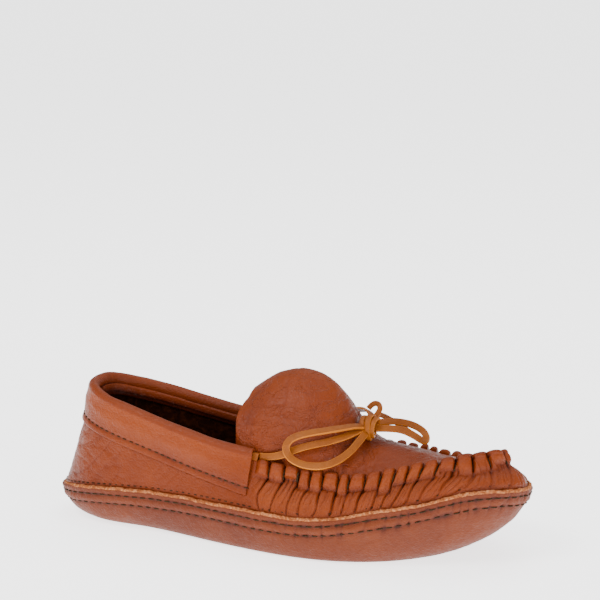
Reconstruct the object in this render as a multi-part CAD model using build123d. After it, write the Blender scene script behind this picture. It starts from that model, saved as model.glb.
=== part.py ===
"""Soft leather moccasin, right foot, size about US men's 9.

Millimetres. +X runs from heel to toe, +Y to the inner (medial) side, +Z up.
The origin is on the ground, below the middle of the shoe's bounding box.
"""
from build123d import *
import math
import os

# Leather and foam thicknesses
SOLE_THICKNESS = 2.2
WRAPPER_THICKNESS = 2.0
CUFF_THICKNESS = 1.8
PLUG_THICKNESS = 2.0
CUSHION_THICKNESS = 3.5
LINER_THICKNESS = 1.2

# Insets of each skin from the outer sole's outer face
SOLE_FACE = 0.0
WRAPPER_FACE = SOLE_THICKNESS
LINING_FACE = WRAPPER_FACE + WRAPPER_THICKNESS
CUFF_FACE = WRAPPER_FACE - CUFF_THICKNESS
FACING_FACE = LINING_FACE + CUFF_THICKNESS

# Heights along the shoe, each a short table of (x, z)
RIM_HEIGHT = [(-150, 18), (-138, 20.5), (-120, 24.3), (-90, 27), (-48, 28), (-2, 26.8), (25, 27), (46, 28.8),
              (68, 33), (90, 36.5), (117, 41.9), (137, 43.8), (150, 42.3)]
TOP_HEIGHT = [(-150, 85), (-124, 78.5), (-82, 68.5), (-40, 58.5), (-5, 52.5), (22, 50), (45, 49.2),
              (62, 49.8), (78, 51.5), (98, 53.7), (120, 58.5), (133, 62.5), (150, 64)]
# The toe is rolled: rise per millimetre of y, each a short table of (x, tilt)
RIM_TILT = [(-150, 0), (0, 0), (35, 0), (60, -0.02), (90, -0.05), (117, -0.11), (150, -0.11)]
TOP_TILT = [(-150, 0), (0, 0), (35, 0), (50, 0.02), (62, 0), (78, -0.07), (98, -0.2), (120, -0.3),
            (150, -0.3)]
LINER_HEIGHT = [(-150, 14), (-110, 9.5), (-60, 9), (60, 9), (90, 13), (115, 25), (150, 44)]

# Plan of the shoe at matching stations: (footprint, rim, top edge), each (x, y)
HEEL = ((-122, 0), (-144, 0), (-126, 0))
LATERAL = [
    ((-119, -9), (-139.5, -19), (-121, -16)),
    ((-108, -17), (-122, -32), (-106, -26)),
    ((-85, -20), (-90, -37), (-80, -31.5)),
    ((-48, -29), (-48, -41.5), (-40, -36.5)),
    ((-5, -39), (-2, -50), (-3, -38)),
    ((40, -41), (46, -52), (42, -38)),
    ((70, -31), (90, -43.5), (80, -29.5)),
    ((83, -21), (117, -33), (101, -22)),
    ((91, -9), (139, -18), (123, -10)),
]
TOE = ((93, 3), (147, -2), (133, 2))
MEDIAL = [
    ((-119, 9), (-139.5, 19), (-121, 16)),
    ((-108, 17), (-122, 31.5), (-106, 25)),
    ((-85, 19), (-90, 35.5), (-80, 30.5)),
    ((-48, 21), (-48, 37.5), (-40, 35.5)),
    ((-5, 30), (-2, 45), (-3, 37)),
    ((40, 40), (46, 52), (43, 37.5)),
    ((72, 34), (90, 48), (79, 31)),
    ((85, 25), (118, 37), (101, 20)),
    ((91, 14), (139, 21), (121, 12)),
]
STATIONS = [HEEL] + LATERAL + [TOE] + MEDIAL[::-1]
SOLE_CURVE = 1.9        # roundness of the sole's side: 2 is a quarter ellipse
TOE_CURVE = 1.6         # the toe's underside rises straighter
SLICES = (0, 1.5, 4, 8, 13, 19, 26, 33, 40, 47, 54, 61, 68, 75, 82, 89, 96, 103)
WINDOW_SPAN = 100       # half-width of the blocks that cut the skins

# Collar
CUFF_DROP = 19.0        # cuff's lower edge below the wrapper's top edge
ROLL_HEIGHT = 6.5       # rolled top of the cuff above the wrapper's top edge
TUNNEL_HEIGHT = 4.8     # lace tunnel inside the roll
FACING_DROP = 4.0       # inner facing below the wrapper's top edge
CUFF_FRONT_TOP = -5.0
CUFF_FRONT_BOTTOM = -10.0

# Plug and tongue: crest of the roof along the shoe, (x, z)
CREST_HEIGHT = [(-30, 80), (-18, 89), (-4, 98), (10, 101), (22, 98.5), (32, 91), (40, 80), (46, 69.5),
                (50, 64.5), (56, 61.3), (66, 58.8), (80, 56.8), (100, 56), (118, 58.5), (136, 63)]
ROOF_HALF = [(-40, 37), (20, 37), (60, 37), (80, 35), (100, 27), (118, 18), (136, 13)]
ROOF_SECTIONS = range(-32, 137, 6)
ARCH_POWER = 1.7        # roundness of the roof across the shoe
PLUG_DROP = 2.0         # plug's edge below the gathered ridge
THROAT_X = 46.0         # the tongue folds here
TONGUE_GAP = 0.4
LACE_ROOM = 18.0        # the hood stays inside the lace this far in front of the cuff
FOLD_ROOM = 18.0        # and inside the cuff this far above it, where it sinks as it folds

# Lace: a flat thong, cut from the same hide as the binding
LACE_WIDTH = 4.0
TAIL_WIDTH = 3.0
KNOT_CENTRE = (52, -5, 70.5)
KNOT_SIZE = (4.2, 6.0, 6.3)

# Routes of the lace's free stretches
CORD_ROUTES = {
    "lace_near_run": [(-5, -33.2, 55), (2, -34.6, 55.7), (10, -35.2, 58.2), (17, -34.9, 62), (25, -33.4, 64.6),
                      (34, -29.5, 66.4), (42, -23.5, 68.2), (47, -15.5, 69.8), (50.5, -7.5, 70.5)],
    "lace_far_run": [(-5, 32.6, 55), (2, 34, 56.5), (10, 34.8, 60), (18, 34.6, 64), (26, 32.6, 67.5),
                     (34, 28.5, 70.8), (41.5, 21.5, 73.2), (47.5, 12.5, 73.6), (51.5, 3.5, 72)],
    "lace_near_loop": [(50.5, -7, 71), (47, -14.5, 73.4), (41.5, -22, 73.6), (34.5, -28.5, 73.2),
                       (26.5, -33, 72.2), (19, -36, 70.6), (13.8, -38, 67.4), (12.4, -39, 62.6),
                       (15.2, -39.6, 58), (21, -39.8, 55.2), (28, -39.5, 54.3), (35, -38.2, 54.8),
                       (41.6, -34.6, 57), (47, -28, 60.8), (50, -20.5, 65.2), (51.5, -11.5, 68.6)],
    "lace_far_loop": [(54, -1, 72.2), (60, 5.5, 72), (66.5, 11, 70.8), (73, 14.4, 68.6), (79, 15, 65.2),
                      (83.6, 12, 62.3), (85.2, 7, 61.6), (83.2, 3, 63.8), (78, 0.8, 67), (71, 0, 69.2),
                      (63, -1.4, 70), (55, -4, 69.6)],
    "lace_near_tail": [(51.5, -6, 66), (51.4, -5, 70.2), (52.4, -2, 74.4), (54.4, 1.4, 78.4),
                       (54.8, 3.4, 82.4), (52, 4.4, 85.2), (48.4, 4.2, 84.2), (46.6, 3.8, 80.8)],
    "lace_far_tail": [(53, -3, 72), (53.5, 5, 76.2), (56, 11, 75), (60, 16, 71.4), (64.4, 20.4, 67),
                      (68.8, 24.4, 62), (72.8, 28, 57.6)],
}

# Thread
SOLE_ROWS = {"sole_thread_upper": 4.0, "sole_thread_lower": 10.0}
STITCH_PITCH = 5.5
STITCH_LENGTH = 3.6
GATHER_PITCH = 8.0
GATHER_LENGTH = 1.6
STITCH_RADIUS = 0.45
# How far each thread's centre stands off the leather
COLLAR_STAND = 0.8
SOLE_STAND = 1.5
RIM_STAND = 1.6
GATHER_STAND = 1.8
# Where the rows run
RIM_ROW_RISE = 1.8      # above the outer sole's edge
COLLAR_ROW_RISE = 4.5   # above the cuff's lower edge
CUFF_MARGIN = 4         # the gather stitches start this far in front of the cuff


def height(table, x):
    """Smooth height at x: cubic Hermite pieces through the table."""
    xs = [p[0] for p in table]
    zs = [p[1] for p in table]
    i = max(0, min(len(xs) - 2, sum(1 for v in xs if v <= x) - 1))

    def slope(k):
        a, b = max(k - 1, 0), min(k + 1, len(xs) - 1)
        return (zs[b] - zs[a]) / (xs[b] - xs[a])

    span = xs[i + 1] - xs[i]
    t = (x - xs[i]) / span
    h00, h10 = 2 * t**3 - 3 * t**2 + 1, t**3 - 2 * t**2 + t
    h01, h11 = 3 * t**2 - 2 * t**3, t**3 - t**2
    return h00 * zs[i] + h10 * span * slope(i) + h01 * zs[i + 1] + h11 * span * slope(i + 1)


def blend(a, b, t):
    return (a[0] + (b[0] - a[0]) * t, a[1] + (b[1] - a[1]) * t)


def rim(x, y):
    """Height of the outer sole's edge."""
    return height(RIM_HEIGHT, x) + height(RIM_TILT, x) * y


def ridge(x, y):
    """Height of the wrapper's top edge."""
    return height(TOP_HEIGHT, x) + height(TOP_TILT, x) * y


def liner(x, y):
    """Height of the sock liner's top face, level across the shoe."""
    return height(LINER_HEIGHT, x)


def below_ground(x, y):
    return -10.0


def plan_point(station, z, inset):
    """Plan position of one station at height z, before the inset."""
    foot, edge, top = station
    rim_z = rim(*edge)
    top_z = ridge(*top)
    if z >= rim_z:
        return blend(edge, top, min((z - rim_z) / (top_z - rim_z), 1.05))
    rise = max(z - inset, 0) / (rim_z - inset)
    power = TOE_CURVE if edge[0] > 85 else SOLE_CURVE
    return blend(foot, edge, (1 - (1 - rise)**power)**(1 / power))


def outline(z, inset):
    """Closed plan outline at height z, moved inwards by inset."""
    ring = [plan_point(s, z, inset) for s in STATIONS]
    moved = []
    for k, (x, y) in enumerate(ring):
        (ax, ay), (bx, by) = ring[k - 1], ring[(k + 1) % len(ring)]
        length = math.hypot(bx - ax, by - ay)
        moved.append((x - inset * (by - ay) / length, y + inset * (bx - ax) / length))
    return moved


def skin(inset):
    """Solid inside the shoe's form, inset from the outer face."""
    faces = []
    for z in SLICES:
        level = z + inset
        edge = Spline(*[(x, y, level) for x, y in outline(level, inset)], periodic=True)
        faces.append(Face(Wire([edge])))
    return loft(faces)


def side_face(upper, lower, y):
    """Upright face along the shoe at y, between two height functions."""
    xs = range(-160, 161, 8)
    top = Spline(*[(x, y, upper(x, y)) for x in xs])
    bottom = Spline(*[(x, y, lower(x, y)) for x in reversed(xs)])
    return Face(Wire([top, Line(top @ 1, bottom @ 0), bottom, Line(bottom @ 1, top @ 0)]))


def side_window(upper, lower, front=None):
    """Block right across the shoe between two height functions, cut off at a slanted front."""
    window = loft([side_face(upper, lower, -WINDOW_SPAN), side_face(upper, lower, WINDOW_SPAN)])
    if front is None:
        return window
    with BuildSketch(Plane.XZ) as sketch:
        with BuildLine():
            Polyline((front[0], 130), (front[1], -20), (200, -20), (200, 130), close=True)
        make_face()
    return window - extrude(sketch.sketch, amount=WINDOW_SPAN + 10, both=True)


FORM = {}


def form(inset):
    if inset not in FORM:
        FORM[inset] = skin(inset)
    return FORM[inset]


def outer_sole():
    return (form(SOLE_FACE) & side_window(rim, below_ground)) - form(WRAPPER_FACE)


def wrapper():
    return (form(WRAPPER_FACE) & side_window(ridge, below_ground)) - form(LINING_FACE)


def cushion_insole():
    return form(LINING_FACE) & side_window(lambda x, y: liner(x, y) - LINER_THICKNESS, below_ground)


def sock_liner():
    return form(LINING_FACE) & side_window(liner, lambda x, y: liner(x, y) - LINER_THICKNESS)


def cuff_front():
    """Slanted front line of the cuff, carried on to the sketch's top and bottom."""
    lean = (CUFF_FRONT_TOP - CUFF_FRONT_BOTTOM) / 24
    return (CUFF_FRONT_TOP + lean * 72, CUFF_FRONT_BOTTOM - lean * 54)


def collar_cuff():
    def above(rise):
        return lambda x, y: ridge(x, y) + rise

    band = side_window(above(ROLL_HEIGHT), above(-CUFF_DROP), cuff_front())
    body = (form(CUFF_FACE) - form(FACING_FACE)) & band
    core = (form(WRAPPER_FACE) - form(LINING_FACE)) & side_window(above(TUNNEL_HEIGHT), below_ground)
    below_facing = form(LINING_FACE) & side_window(above(-FACING_DROP), below_ground)
    return body - core - below_facing


def lace_in_collar():
    play = 0.3
    window = side_window(lambda x, y: ridge(x, y) + TUNNEL_HEIGHT - play, lambda x, y: ridge(x, y) + play,
                         cuff_front())
    return (form(WRAPPER_FACE) - form(LINING_FACE)) & window


def roof_section(x, inset):
    """Arch across the shoe at x, closed along a low base."""
    half = height(ROOF_HALF, x) - inset
    base = 20.0
    rise = height(CREST_HEIGHT, x) - ridge(x, 0) + PLUG_DROP
    count = 12
    arch = []
    for k in range(count + 1):
        y = half * (2 * k / count - 1)
        arch.append((x, y, ridge(x, y) - PLUG_DROP - inset + rise * (1 - abs(y / half)**ARCH_POWER)))
    edges = [Spline(*arch)]
    edges.append(Line(arch[-1], (x, half, base)))
    edges.append(Line((x, half, base), (x, -half, base)))
    edges.append(Line((x, -half, base), arch[0]))
    return Face(Wire(edges))


def roof(inset):
    return loft([roof_section(x, inset) for x in ROOF_SECTIONS])


def roof_shell():
    edge = side_window(lambda x, y: 120.0, lambda x, y: ridge(x, y) - PLUG_DROP - PLUG_THICKNESS)
    return (roof(0) - roof(PLUG_THICKNESS)) & edge


def block(x0, x1):
    return Pos((x0 + x1) / 2, 0, 90) * Box(x1 - x0, 200, 120)


def plug(shell):
    return shell & block(THROAT_X + TONGUE_GAP / 2, 150) & form(LINING_FACE)


def tongue(shell):
    """Everything behind the throat: a hood that stands in the shoe's mouth, clear of cuff and lace."""
    with BuildSketch(Plane.XZ) as sketch:
        with BuildLine():
            back = Spline((-7, 48), (-15, 62), (-21, 76), (-18, 90), (-6, 99), (8, 104))
            Polyline(back @ 1, (THROAT_X - TONGUE_GAP / 2, 104), (THROAT_X - TONGUE_GAP / 2, 48), back @ 0)
        make_face()
    hood = shell & extrude(sketch.sketch, amount=100, both=True) & form(LINING_FACE + TONGUE_GAP)
    front_top, front_bottom = cuff_front()
    cuff_room = side_window(lambda x, y: ridge(x, y) + ROLL_HEIGHT + FOLD_ROOM,
                            lambda x, y: ridge(x, y) - FACING_DROP - TONGUE_GAP,
                            (front_top + LACE_ROOM, front_bottom + LACE_ROOM))
    return hood - (cuff_room - form(FACING_FACE + TONGUE_GAP))


def bow_knot():
    width, depth, rise = KNOT_SIZE
    return Pos(*KNOT_CENTRE) * scale(Sphere(1), by=(width, depth, rise))


def bend_radii(route):
    """Largest arc at each inner point that its two runs allow."""
    points = [Vector(*p) for p in route]
    radii = []
    for a, b, c in zip(points, points[1:], points[2:]):
        turn = math.radians((b - a).get_angle(c - b))
        run = min((b - a).length, (c - b).length)
        radii.append(0.45 * run / math.tan(turn / 2))
    return radii


def cord(name, width):
    route = CORD_ROUTES[name]
    radii = bend_radii(route)
    path = FilletPolyline(*route, radius=radii)
    start = Plane(origin=path @ 0, z_dir=path % 0)
    tube = sweep(start * Circle(width / 2), path=path)
    print(name, "length", round(path.length, 1), "tightest radius", round(min(radii), 1),
          "volume ratio", round(tube.volume / (math.pi * width**2 / 4 * path.length), 3))
    return tube


def stitch(centre, direction, length=STITCH_LENGTH):
    axis = Vector(*direction).normalized()
    start = Vector(*centre) - axis * (length / 2)
    return Solid.make_cylinder(STITCH_RADIUS, length, Plane(origin=start, z_dir=axis))


def seam_line(inset, level):
    """Closed line round the shoe's form; level gives the height from a station."""
    points = []
    for k, station in enumerate(STATIONS):
        z = level(station)
        x, y = outline(z, inset)[k]
        points.append((x, y, z))
    return Spline(*points, periodic=True)


def stitch_row(line, pitch, keep=lambda p: True):
    count = round(line.length / pitch)
    stitches = []
    for k in range(count):
        at = (k + 0.5) / count
        if keep(line @ at):
            stitches.append(stitch(line @ at, line % at))
    return Compound(children=stitches)


def gather_thread():
    """One short stitch across the top of the ridge at each pleat."""
    line = seam_line(WRAPPER_FACE - STITCH_RADIUS, lambda s: ridge(*s[2]) + GATHER_STAND)
    count = round(line.length / GATHER_PITCH)
    stitches = []
    for k in range(count):
        place = line @ ((k + 0.5) / count)
        if place.X > CUFF_FRONT_TOP + CUFF_MARGIN:
            along = line % ((k + 0.5) / count)
            lift = ridge(place.X, place.Y) + GATHER_STAND - place.Z
            stitches.append(stitch(place + Vector(0, 0, lift), (-along.Y, along.X, 0), GATHER_LENGTH))
    return Compound(children=stitches)


def collar_thread():
    drop = CUFF_DROP - COLLAR_ROW_RISE
    line = seam_line(CUFF_FACE - COLLAR_STAND, lambda s: ridge(*s[2]) - drop)
    return stitch_row(line, STITCH_PITCH, lambda p: p.X < CUFF_FRONT_BOTTOM - 3)


def back_seam_thread():
    stitches = []
    for z in range(28, 57, 4):
        x, y = outline(z, WRAPPER_FACE - COLLAR_STAND)[0]
        stitches.append(stitch((x, y, z), (0, 1, 0), 3.0))
    return Compound(children=stitches)


NODES = {}


def add(name, shape):
    NODES[name] = shape


def build_leather():
    add("outer_sole", outer_sole())
    add("wrapper", wrapper())
    add("cushion_insole", cushion_insole())
    add("sock_liner", sock_liner())
    add("collar_cuff", collar_cuff())
    shell = roof_shell()
    add("plug", plug(shell))
    add("tongue", tongue(shell))


def build_lace():
    add("lace_in_collar", lace_in_collar())
    add("bow_knot", bow_knot())
    for name in CORD_ROUTES:
        tube = cord(name, TAIL_WIDTH if name.endswith("tail") else LACE_WIDTH) - NODES["bow_knot"]
        add(name, max(tube.solids(), key=lambda s: s.volume))


def build_thread():
    for name, drop in SOLE_ROWS.items():
        add(name, stitch_row(seam_line(-SOLE_STAND, lambda s: rim(*s[1]) - drop), STITCH_PITCH))
    rim_line = seam_line(WRAPPER_FACE - RIM_STAND, lambda s: rim(*s[1]) + RIM_ROW_RISE)
    add("rim_thread", stitch_row(rim_line, STITCH_PITCH))
    add("gather_thread", gather_thread())
    add("collar_thread", collar_thread())
    add("back_seam_thread", back_seam_thread())


def main():
    os.makedirs("parts", exist_ok=True)
    build_leather()
    build_lace()
    build_thread()
    for name, shape in NODES.items():
        shape.label = name
        export_step(shape, f"parts/{name}.step")


main()
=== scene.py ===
"""Soft leather moccasin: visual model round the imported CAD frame. Metres."""
import math

import bpy
import numpy as np
from mathutils import Matrix, Vector
from mathutils.bvhtree import BVHTree


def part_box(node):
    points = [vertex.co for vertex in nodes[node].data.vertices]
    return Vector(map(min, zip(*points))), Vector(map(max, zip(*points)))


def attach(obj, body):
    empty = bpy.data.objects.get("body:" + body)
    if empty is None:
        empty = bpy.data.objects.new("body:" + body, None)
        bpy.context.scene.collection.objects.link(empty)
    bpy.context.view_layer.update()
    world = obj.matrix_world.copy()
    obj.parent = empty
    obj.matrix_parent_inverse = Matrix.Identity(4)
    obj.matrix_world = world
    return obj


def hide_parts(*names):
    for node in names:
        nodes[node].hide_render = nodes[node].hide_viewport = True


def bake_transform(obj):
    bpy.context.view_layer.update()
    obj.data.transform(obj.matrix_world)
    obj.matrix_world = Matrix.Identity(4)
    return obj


MM = 0.001
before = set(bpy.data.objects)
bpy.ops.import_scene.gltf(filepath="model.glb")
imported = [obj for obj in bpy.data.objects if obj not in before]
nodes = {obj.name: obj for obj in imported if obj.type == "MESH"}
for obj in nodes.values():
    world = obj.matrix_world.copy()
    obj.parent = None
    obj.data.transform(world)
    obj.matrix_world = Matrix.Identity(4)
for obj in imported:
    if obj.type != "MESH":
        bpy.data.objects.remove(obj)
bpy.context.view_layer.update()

# Columns round the shoe: rays leave a spine along the shoe's middle
SPINE_HEEL = -0.104
SPINE_TOE = 0.092
SPINE_DRIFT = 0.004     # sideways from heel to toe
COLUMN_STEP = 0.46 * MM
REACH = 0.13            # rays start this far out and run inwards

CUFF_FRONT = -0.0065    # the cuff ends here; the gathers begin
PLEAT_PITCH = 8.3 * MM
HEAD_HEIGHT = 6.8 * MM
ROLL_RADIUS = 3.4 * MM
FACING_DEPTH = 8.5 * MM         # the cuff's leather runs this far down inside
RIDGE_RADIUS = 2.1 * MM         # half the thickness of the rolled ridge
SOLE_LEATHER = 4.4 * MM         # the lining lies this far inside the outer sole's face
WALL_LEATHER = 2.3 * MM         # and this far inside the wrapper's
LACE_WIDTH = 4.0 * MM
TAIL_WIDTH = 3.0 * MM
LACE_THICKNESS = 1.6 * MM

STITCH_PITCH = 5.5 * MM
SOLE_ROWS = (4.2 * MM, 10.2 * MM)       # down from the outer sole's edge
RIM_ROW = 1.9 * MM                      # up from the outer sole's edge
COLLAR_ROW = 4.6 * MM                   # up from the cuff's lower edge

AXIS_Y = 1 * MM                 # rays at the plug and tongue run towards a low line along the shoe
AXIS_Z = 38 * MM
ROOF_REACH = 0.09               # and start this far from it


# ---------------------------------------------------------------- helpers

def smooth_step(x, lo, hi):
    t = np.clip((x - lo) / (hi - lo), 0, 1)
    return t * t * (3 - 2 * t)


def bell(x, width):
    return np.exp(-(x / width) ** 2)


def hashed(i, j, seed):
    h = np.sin(i * 127.1 + j * 311.7 + seed * 74.7) * 43758.5453
    return h - np.floor(h)


def noise(x, y, seed=0):
    """Smooth 2-D value noise, -1 to 1."""
    i, j = np.floor(x), np.floor(y)
    u, v = x - i, y - j
    u, v = u * u * (3 - 2 * u), v * v * (3 - 2 * v)
    a, b = hashed(i, j, seed), hashed(i + 1, j, seed)
    c, d = hashed(i, j + 1, seed), hashed(i + 1, j + 1, seed)
    return 2 * (a + (b - a) * u + (c - a) * v + (a - b - c + d) * u * v) - 1


def fractal(x, y, seed=0, octaves=3):
    total = 0.0
    for k in range(octaves):
        total = total + noise(x * 2 ** k, y * 2 ** k, seed + 13 * k) / 2 ** k
    return total / 1.6


def blur(a, sigma, axis, wrap):
    """Gaussian blur along one axis; sigma in samples."""
    reach = int(sigma * 3) + 1
    kernel = np.exp(-0.5 * (np.arange(-reach, reach + 1) / sigma) ** 2)
    kernel /= kernel.sum()
    pad = [(0, 0)] * a.ndim
    pad[axis] = (reach, reach)
    padded = np.pad(a, pad, mode="wrap" if wrap else "edge")
    return np.apply_along_axis(lambda r: np.convolve(r, kernel, "valid"), axis, padded)


def normals(P, wrap=True):
    """Unit normals of a grid of points (rows, columns, 3)."""
    if wrap:
        du = np.roll(P, -1, 1) - np.roll(P, 1, 1)
    else:
        du = np.gradient(P, axis=1)
    n = np.cross(du, np.gradient(P, axis=0))
    return n / np.maximum(np.linalg.norm(n, axis=2, keepdims=True), 1e-12)


def displaced(P, offset, wrap=True):
    return P + normals(P, wrap) * offset[..., None]


def grid_object(name, P, wrap=True, shade_and_wear=None, keep=None, flip=False, caps=False):
    """Mesh object from a grid of points.

    The per-point float for the shader paints shade into hollows and lightens raised parts; keep masks
    columns, caps close the first and last rows.
    """
    rows, cols = P.shape[:2]
    idx = np.arange(rows * cols).reshape(rows, cols)
    right = np.roll(idx, -1, 1) if wrap else idx[:, 1:]
    left = idx if wrap else idx[:, :-1]
    quads = np.stack([left[:-1], right[:-1], right[1:], left[1:]], -1)
    if flip:
        quads = quads[..., ::-1]
    if keep is not None:
        both = keep & np.roll(keep, -1) if wrap else keep[:-1] & keep[1:]
        quads = quads[:, both]
    quads = quads.reshape(-1, 4)
    used = np.unique(quads)
    renum = np.zeros(rows * cols, int)
    renum[used] = np.arange(len(used))
    faces = renum[quads].tolist()
    if caps:
        faces += [idx[0, ::-1].tolist(), idx[-1].tolist()]
    mesh = bpy.data.meshes.new(name)
    mesh.from_pydata(P.reshape(-1, 3)[used].tolist(), [], faces)
    if shade_and_wear is not None:
        layer = mesh.attributes.new("shade_and_wear", "FLOAT", "POINT")
        layer.data.foreach_set("value", shade_and_wear.reshape(-1)[used].astype(np.float32))
    mesh.shade_smooth()
    obj = bpy.data.objects.new(name, mesh)
    bpy.context.scene.collection.objects.link(obj)
    return obj


def solidify(obj, thickness):
    mod = obj.modifiers.new("thickness", "SOLIDIFY")
    mod.thickness = thickness
    mod.offset = -1.0
    mod.use_rim = True


# ---------------------------------------------------------------- materials

def shader(name, rough, specular):
    mat = bpy.data.materials.new(name)
    mat.use_nodes = True
    tree = mat.node_tree
    bsdf = tree.nodes["Principled BSDF"]
    bsdf.inputs["Roughness"].default_value = rough
    bsdf.inputs["Specular IOR Level"].default_value = specular
    return mat, tree, bsdf


def add_node(tree, kind, **values):
    node = tree.nodes.new(kind)
    for key, value in values.items():
        if key in node.inputs:
            node.inputs[key].default_value = value
        else:
            setattr(node, key, value)
    return node


def noise_node(tree, coords, scale, detail=3.0, distortion=0.0):
    node = add_node(tree, "ShaderNodeTexNoise", Scale=scale, Detail=detail, Distortion=distortion)
    tree.links.new(coords, node.inputs["Vector"])
    return node.outputs["Fac"]


def ramp(tree, fac, stops):
    node = tree.nodes.new("ShaderNodeValToRGB")
    elements = node.color_ramp.elements
    while len(elements) < len(stops):
        elements.new(0.5)
    for element, (place, color) in zip(elements, stops):
        element.position = place
        element.color = (*color, 1)
    tree.links.new(fac, node.inputs["Fac"])
    return node.outputs["Color"]


def multiply(tree, fac, a, b):
    node = add_node(tree, "ShaderNodeMix", data_type="RGBA", blend_type="MULTIPLY")
    node.inputs[0].default_value = fac
    tree.links.new(a, node.inputs[6])
    tree.links.new(b, node.inputs[7])
    return node.outputs[2]


def bump_chain(tree, bsdf, layers):
    """Bump nodes in a row; layers are (height socket, strength, distance in metres)."""
    last = None
    for height, strength, distance in layers:
        node = add_node(tree, "ShaderNodeBump", Strength=strength, Distance=distance)
        tree.links.new(height, node.inputs["Height"])
        if last:
            tree.links.new(last, node.inputs["Normal"])
        last = node.outputs["Normal"]
    tree.links.new(last, bsdf.inputs["Normal"])


def leather(name, base, dark, light, rough, grain, crease, shade_and_wear_mix=1.0, edge=(1.3, 1.4, 1.5)):
    """Full-grain leather: pebble grain, long creases, mottled dye, and a value from the mesh that paints
    shade into hollows and lightens raised parts and cut edges.
    """
    mat, tree, bsdf = shader(name, rough, 0.22)
    coords = tree.nodes.new("ShaderNodeTexCoord").outputs["Object"]
    mottle = noise_node(tree, coords, 22, 4, 0.3)
    color = ramp(tree, mottle, [(0.3, dark), (0.5, base), (0.72, light)])
    fine = noise_node(tree, coords, 360, 3)
    speckle = ramp(tree, fine, [(0.3, (0.78, 0.74, 0.72)), (0.6, (1, 1, 1))])
    color = multiply(tree, 0.25, color, speckle)
    attribute = add_node(tree, "ShaderNodeAttribute", attribute_name="shade_and_wear")
    # painted shade: a low value darkens slits, creases and hollows almost to black; a high value lightens
    # raised parts and cut edges
    shade_and_wear_tint = ramp(tree, attribute.outputs["Fac"], [
        (0.0, (0.10, 0.05, 0.03)), (0.22, (0.50, 0.40, 0.34)), (0.40, (0.90, 0.85, 0.80)),
        (0.5, (1, 1, 1)), (1.0, edge)])
    if shade_and_wear_mix:
        color = multiply(tree, shade_and_wear_mix, color, shade_and_wear_tint)
    tree.links.new(color, bsdf.inputs["Base Color"])
    cells = add_node(tree, "ShaderNodeTexVoronoi", feature="DISTANCE_TO_EDGE", Scale=520)
    warp = add_node(tree, "ShaderNodeTexNoise", Scale=300, Detail=2)
    tree.links.new(coords, warp.inputs["Vector"])
    shift = add_node(tree, "ShaderNodeVectorMath", operation="MULTIPLY_ADD")
    tree.links.new(warp.outputs["Color"], shift.inputs[0])
    shift.inputs[1].default_value = (0.0016, 0.0016, 0.0016)
    tree.links.new(coords, shift.inputs[2])
    tree.links.new(shift.outputs[0], cells.inputs["Vector"])
    pebble = ramp(tree, cells.outputs["Distance"], [(0.0, (0, 0, 0)), (0.22, (1, 1, 1))])
    stretch = add_node(tree, "ShaderNodeMapping")
    stretch.inputs["Scale"].default_value = (1.0, 0.6, 2.2)
    stretch.inputs["Rotation"].default_value = (0.3, 0.5, 0.2)
    tree.links.new(coords, stretch.inputs["Vector"])
    folds = noise_node(tree, stretch.outputs[0], 70, 4, 0.7)
    fold_lines = ramp(tree, folds, [(0.462, (1, 1, 1)), (0.5, (0, 0, 0)), (0.538, (1, 1, 1))])
    bump_chain(tree, bsdf, [(noise_node(tree, coords, 55, 3), 0.5 * crease, 0.0024),
                            (fold_lines, 0.5 * crease, 0.0008),
                            (pebble, 0.42 * grain, 0.0003),
                            (fine, 0.22 * grain, 0.0003)])
    gloss = ramp(tree, fine, [(0.3, (rough + 0.08,) * 3), (0.7, (rough - 0.06,) * 3)])
    tree.links.new(gloss, bsdf.inputs["Roughness"])
    return mat


def flesh_side():
    """Rough inside of the hide, dark."""
    mat, tree, bsdf = shader("flesh_side", 0.95, 0.05)
    coords = tree.nodes.new("ShaderNodeTexCoord").outputs["Object"]
    nap = noise_node(tree, coords, 240, 6, 0.6)
    color = ramp(tree, nap, [(0.3, (0.010, 0.0017, 0.0003)), (0.5, (0.019, 0.0034, 0.0006)),
                             (0.68, (0.042, 0.009, 0.0018))])
    tree.links.new(color, bsdf.inputs["Base Color"])
    bump_chain(tree, bsdf, [(nap, 0.9, 0.0011), (noise_node(tree, coords, 900, 3), 0.5, 0.0004)])
    return mat


def cut_edge(name, base, light):
    """Raw cut edge of leather: fibrous and pale."""
    mat, tree, bsdf = shader(name, 0.85, 0.12)
    coords = tree.nodes.new("ShaderNodeTexCoord").outputs["Object"]
    fibre = noise_node(tree, coords, 520, 5, 0.8)
    color = ramp(tree, fibre, [(0.3, tuple(0.55 * c for c in base)), (0.48, base), (0.7, light)])
    tree.links.new(color, bsdf.inputs["Base Color"])
    bump_chain(tree, bsdf, [(fibre, 0.8, 0.0005)])
    return mat


def thread_material():
    mat, tree, bsdf = shader("waxed_thread", 0.75, 0.12)
    coords = tree.nodes.new("ShaderNodeTexCoord").outputs["Object"]
    twist = noise_node(tree, coords, 1500, 2)
    color = ramp(tree, twist, [(0.35, (0.012, 0.0055, 0.002)), (0.65, (0.050, 0.026, 0.009))])
    tree.links.new(color, bsdf.inputs["Base Color"])
    bump_chain(tree, bsdf, [(twist, 0.6, 0.0002)])
    return mat


def foam_material():
    mat, tree, bsdf = shader("foam", 0.95, 0.1)
    coords = tree.nodes.new("ShaderNodeTexCoord").outputs["Object"]
    pores = noise_node(tree, coords, 900, 3)
    tree.links.new(ramp(tree, pores, [(0.35, (0.45, 0.4, 0.32)), (0.6, (0.72, 0.66, 0.55))]),
                   bsdf.inputs["Base Color"])
    bump_chain(tree, bsdf, [(pores, 0.6, 0.0004)])
    return mat


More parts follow.
